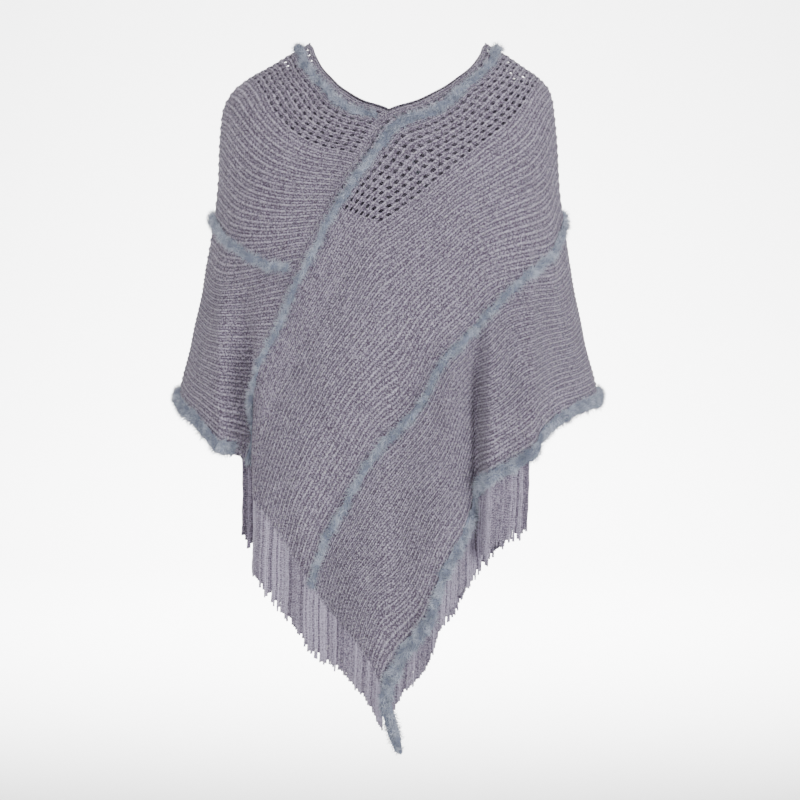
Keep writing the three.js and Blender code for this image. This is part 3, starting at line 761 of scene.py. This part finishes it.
class PonchoSizes(bpy.types.PropertyGroup):
    """Sizes and colours of the poncho."""

    ribs: bpy.props.IntProperty(
        name="Ribs", description="Ribs across a panel, past the net", default=48, min=20, max=90)
    rib_height: bpy.props.FloatProperty(
        name="Rib height", description="How far a rib stands out", default=0.0013, unit="LENGTH")
    stitch: bpy.props.FloatProperty(
        name="Stitch", description="Length of a stitch along a rib", default=0.0042, unit="LENGTH")
    wall: bpy.props.FloatProperty(
        name="Wall", description="Thickness of the knit", default=0.0018, unit="LENGTH")
    net_rows: bpy.props.IntProperty(name="Net rows", description="Rows of holes near the neck", default=7)
    net_start: bpy.props.FloatProperty(
        name="Net start", description="From the inner edge to the net", default=0.0315, unit="LENGTH")
    net_end: bpy.props.FloatProperty(
        name="Net end", description="From the inner edge to the net's far side", default=0.09, unit="LENGTH")
    hole_pitch: bpy.props.FloatProperty(
        name="Hole pitch", description="From hole to hole along a rib", default=0.0115, unit="LENGTH")
    hairs: bpy.props.FloatProperty(
        name="Hairs", description="Hairs on a square metre of strip", default=480000.0)
    hair_length: bpy.props.FloatProperty(
        name="Hair length", description="Longest hair of the fur", default=0.0078, unit="LENGTH")
    strand_length: bpy.props.FloatProperty(
        name="Strand length", description="Length of a fringe strand", default=0.102, unit="LENGTH")
    strand_radius: bpy.props.FloatProperty(
        name="Strand radius", description="Radius of a fringe strand", default=0.0018, unit="LENGTH")
    strands: bpy.props.IntProperty(name="Strands", description="Fringe strands on an edge", default=96)
    # The knit's colours. The rib crests are painted towards the light yarn as a highlight and the valleys towards
    # the dark yarn as shade; the plum flecks also serve as painted shade in the rib valleys and yarn grooves, and
    # the pale flecks as a painted highlight on the crests.
    knit_light: bpy.props.FloatVectorProperty(
        name="Knit, light", description="Light yarn", default=(0.58, 0.522, 0.672), subtype="COLOR")
    knit_dark: bpy.props.FloatVectorProperty(
        name="Knit, dark", description="Shaded yarn", default=(0.105, 0.085, 0.125), subtype="COLOR")
    knit_plum_fleck_and_shade: bpy.props.FloatVectorProperty(
        name="Knit, plum", description="Dark flecks in the yarn", default=(0.085, 0.055, 0.085), subtype="COLOR")
    knit_pale_fleck_and_highlight: bpy.props.FloatVectorProperty(
        name="Knit, pale", description="Pale flecks in the yarn", default=(0.62, 0.6, 0.64), subtype="COLOR")
    # The fur's colours run from the light tips to the dark roots, and the darkness at the roots is painted shade
    # among the hairs.
    fur_light: bpy.props.FloatVectorProperty(
        name="Fur, light", description="Tips of the fur", default=(0.68, 0.715, 0.81), subtype="COLOR")
    fur_dark: bpy.props.FloatVectorProperty(
        name="Fur, dark", description="Roots of the fur", default=(0.23, 0.255, 0.34), subtype="COLOR")


def shared_material(name, maker, sizes):
    return bpy.data.materials.get(name) or maker(sizes)


class PONCHO_OT_panels(bpy.types.Operator):
    """Knit the two panels."""

    bl_idname = "poncho.panels"
    bl_label = "Knitted panels"

    def execute(self, context):
        sizes = context.scene.poncho
        material = shared_material("rib_knit", knit_material, sizes)
        for side, turned in SIDES:
            hand_over(make_panel(side, turned, sizes, material), f"{side}_panel")
        return {"FINISHED"}


class PONCHO_OT_fur(bpy.types.Operator):
    """Make the fur strips along the inner edge, the middle and the outer edge of each panel."""

    bl_idname = "poncho.fur"
    bl_label = "Fur strips"

    def execute(self, context):
        sizes = context.scene.poncho
        material = shared_material("soft_fur", fur_material, sizes)
        tree = fur_tree()
        seed = 0
        for side, turned in SIDES:
            for name, node, span, height, first in STRIPS:
                section = rounded_section(*span, STRIP_LIFT, height)
                base = strip_base(f"{side}_{name}", section, turned, first, STRIP_END, tail=first < 0)
                seed += 1
                grow(base, tree, {
                    "Density": sizes.hairs, "Hair length": sizes.hair_length, "Hair radius": HAIR_RADIUS,
                    "Lean": HAIR_LEAN, "Seed": seed, "Material": material,
                })
                hand_over(base, f"{side}_{node}")
        return {"FINISHED"}


class PONCHO_OT_fringe(bpy.types.Operator):
    """Hang the fringe on the short ends and the lower outer edges."""

    bl_idname = "poncho.fringe"
    bl_label = "Fringe"

    def execute(self, context):
        sizes = context.scene.poncho
        material = shared_material("fringe_yarn", yarn_material, sizes)
        tree = fringe_tree()
        for side, turned in SIDES:
            fine = np.linspace(0, 1, 400)
            short = hang_places(place(0.0035, 0.985 - 0.965 * fine), sizes.strands)
            long = hang_places(place(EDGE_FRINGE_TO * (0.02 + 0.98 * fine), 1.0), sizes.strands)
            for name, node, spots, cut in (
                ("end_fringe", "short_fringe", short, END_CUT), ("edge_fringe", "long_fringe", long, EDGE_CUT),
            ):
                points = worn(body_point(*spots) - body_normal(*spots) * FRINGE_DEPTH, turned)
                base = mesh_object(f"{side}_{name}", points, [])
                lengths = base.data.attributes.new("cut_length", "FLOAT", "POINT")
                lengths.data.foreach_set("value", read(cut, np.linspace(0, 1, len(points))).astype(np.float32))
                grow(base, tree, {
                    "Strand length": sizes.strand_length, "Strand radius": sizes.strand_radius,
                    "Sway": STRAND_SWAY, "Material": material,
                })
                hand_over(base, f"{side}_{node}")
        return {"FINISHED"}


class PONCHO_OT_stage(bpy.types.Operator):
    """Set the floor, the lights and the camera."""

    bl_idname = "poncho.stage"
    bl_label = "Stage"

    def execute(self, context):
        floor = make_floor()
        make_lights(context.scene)
        make_camera(context.scene)
        return {"FINISHED"}


def make_floor():
    """A pale floor, well below the hem, that curves up into a backdrop far behind."""
    low, start, bend = FLOOR_HEIGHT, 5.9, 1.6
    profile = [(-14.0, low), (-6.0, low), (start, low)]
    for i in range(1, 17):
        turn = math.pi / 2 * i / 16
        profile.append((start + bend * math.sin(turn), low + bend * (1 - math.cos(turn))))
    profile.append((start + bend, 7.0))
    count = len(profile)
    floor = mesh_object("floor", [(x, y, z) for x in (-14.0, 14.0) for y, z in profile],
                        [(i, i + count, i + count + 1, i + 1) for i in range(count - 1)])
    material, g = new_material("pale_floor")
    spot = g.out(g.node("ShaderNodeTexCoord", None), "Object")
    grain = g.node("ShaderNodeTexNoise", None, Vector=spot, Scale=3.0)
    base = mix_colour(g, g.out(grain, 0) * 0.04, colour((0.95, 0.95, 0.95)), colour((0.88, 0.88, 0.88)))
    normal = g.node("ShaderNodeBump", None, Strength=0.02, Height=g.out(grain, 0))
    finish_material(g, base, 0.95, normal, 0.0, colour((1, 1, 1)))
    floor.data.materials.append(material)
    floor.data.shade_smooth()
    return floor


def aim(item, target):
    """Turns a light or camera to look at a point."""
    way = Vector(target) - item.location
    item.rotation_euler = way.to_track_quat("-Z", "Y").to_euler()


def make_lights(scene):
    for name, place_at, size, power, tint in LIGHTS:
        data = bpy.data.lights.new(name, "AREA")
        data.shape, data.size, data.energy, data.color = "SQUARE", size, power, tint
        light = bpy.data.objects.new(name, data)
        scene.collection.objects.link(light)
        light.location = place_at
        aim(light, (0, 0, -0.4))
    data = bpy.data.lights.new("backdrop", "AREA")
    data.shape, data.size, data.energy, data.spread = "SQUARE", 2.0, 640, math.radians(84)
    light = bpy.data.objects.new("backdrop", data)
    scene.collection.objects.link(light)
    light.location = (0, 3.2, 3.0)
    aim(light, (0, 5.7, -1.3))
    world = bpy.data.worlds.new("soft_room")
    world.use_nodes = True
    background = world.node_tree.nodes["Background"]
    background.inputs["Color"].default_value = (1, 1, 1, 1)
    background.inputs["Strength"].default_value = 0.6
    scene.world = world


def make_camera(scene):
    data = bpy.data.cameras.new("view")
    data.sensor_width = 36
    data.lens = data.sensor_width * VIEW_DISTANCE / VIEW_WIDTH
    data.clip_end = 100
    camera = bpy.data.objects.new("view", data)
    scene.collection.objects.link(camera)
    x, y, z = VIEW_TARGET
    camera.location = (x, y - math.sqrt(VIEW_DISTANCE ** 2 - VIEW_RISE ** 2), z + VIEW_RISE)
    aim(camera, VIEW_TARGET)
    scene.camera = camera


class PONCHO_PT_panel(bpy.types.Panel):
    """Lists the poncho's pieces and sizes."""

    bl_idname = "PONCHO_PT_panel"
    bl_label = "Poncho"
    bl_space_type = "VIEW_3D"
    bl_region_type = "UI"
    bl_category = "Poncho"

    def draw(self, context):
        sizes = context.scene.poncho
        for key in PonchoSizes.__annotations__:
            self.layout.prop(sizes, key)
        for operator in OPERATORS:
            self.layout.operator(operator.bl_idname)


OPERATORS = (PONCHO_OT_panels, PONCHO_OT_fur, PONCHO_OT_fringe, PONCHO_OT_stage)
CLASSES = (PonchoSizes, *OPERATORS, PONCHO_PT_panel)


def register():
    for one in CLASSES:
        bpy.utils.register_class(one)
    bpy.types.Scene.poncho = bpy.props.PointerProperty(type=PonchoSizes)


def unregister():
    del bpy.types.Scene.poncho
    for one in reversed(CLASSES):
        bpy.utils.unregister_class(one)


def main():
    register()
    bpy.ops.poncho.panels()
    bpy.ops.poncho.fur()
    bpy.ops.poncho.fringe()
    bpy.ops.poncho.stage()


if __name__ == "__main__":
    main()
